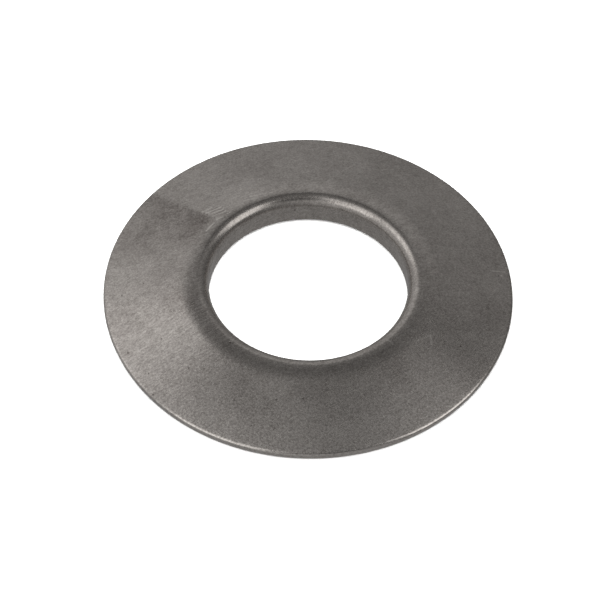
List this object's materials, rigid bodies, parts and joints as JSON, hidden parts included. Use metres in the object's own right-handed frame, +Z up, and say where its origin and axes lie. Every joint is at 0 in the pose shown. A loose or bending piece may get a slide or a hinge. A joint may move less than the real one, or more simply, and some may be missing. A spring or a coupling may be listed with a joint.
{
  "type": "thrust washer",
  "caption": "Dished thrust washer pressed from sheet steel, with a rolled crest and a short turned-down collar around its bore.",
  "frame": {"origin": "on the axis of the bore, in the plane that the rim stands on", "axes": "+Z up along the axis of the bore, towards the crest; the washer is round, so +X and +Y are free"},
  "size_m": [0.05, 0.05, 0.0038],
  "materials": {
    "bare_steel": "bare low-carbon steel sheet, pressed and tumbled, satin"
  },
  "bodies": {
    "root": {"thrust_washer": "bare_steel"}
  },
  "joints": []
}
